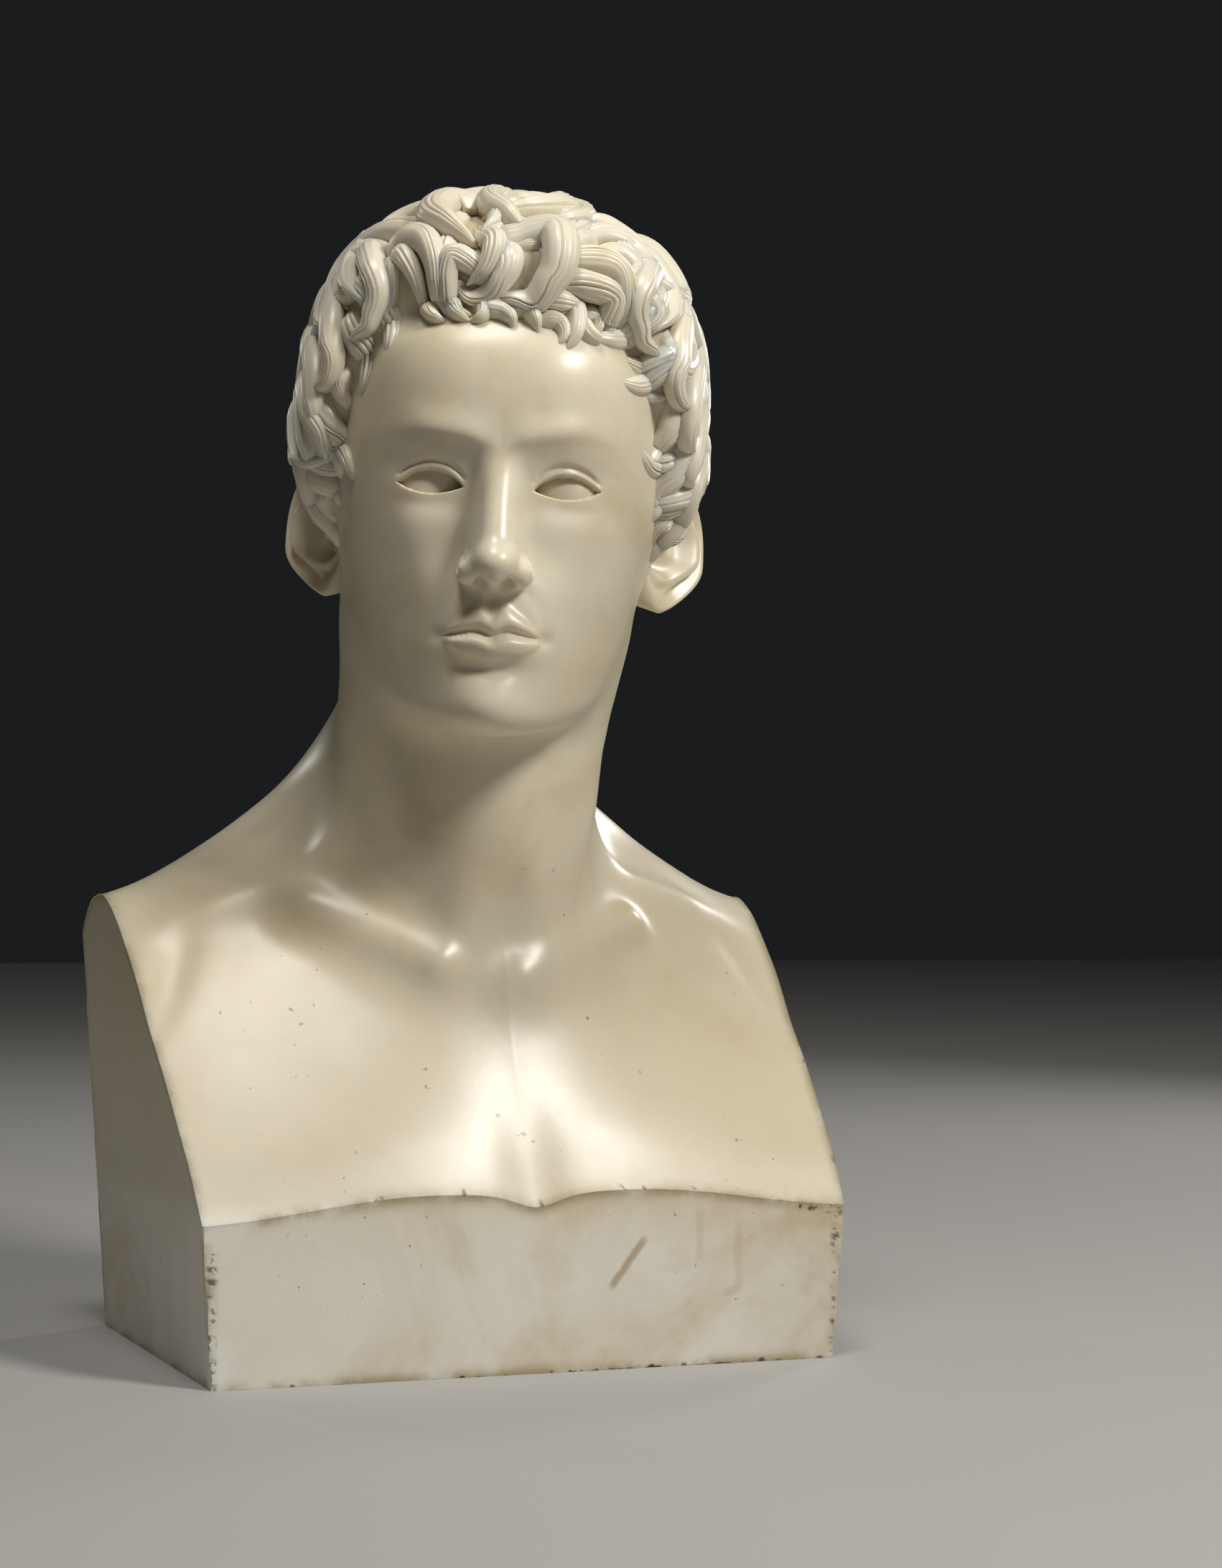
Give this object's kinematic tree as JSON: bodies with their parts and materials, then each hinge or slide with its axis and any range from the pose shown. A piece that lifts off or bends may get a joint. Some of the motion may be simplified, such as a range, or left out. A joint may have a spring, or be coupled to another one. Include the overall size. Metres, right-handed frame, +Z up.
{
  "type": "marble herm bust",
  "caption": "Classical marble herm bust of a young man with short curly hair, head turned to its right, on its own flat-cut block, to stand on a plinth, shelf or table",
  "frame": {"origin": "centre of the bounding box on the underside that the block stands on", "axes": "+Z up, the block's flat front looks along -Y, its width runs along X"},
  "size_m": [0.3318, 0.2409, 0.5484],
  "materials": {
    "white_marble": "satin polished white marble with a honey patina, fine specks and worn arrises"
  },
  "bodies": {
    "root": {"marble_bust": "white_marble"}
  },
  "joints": []
}
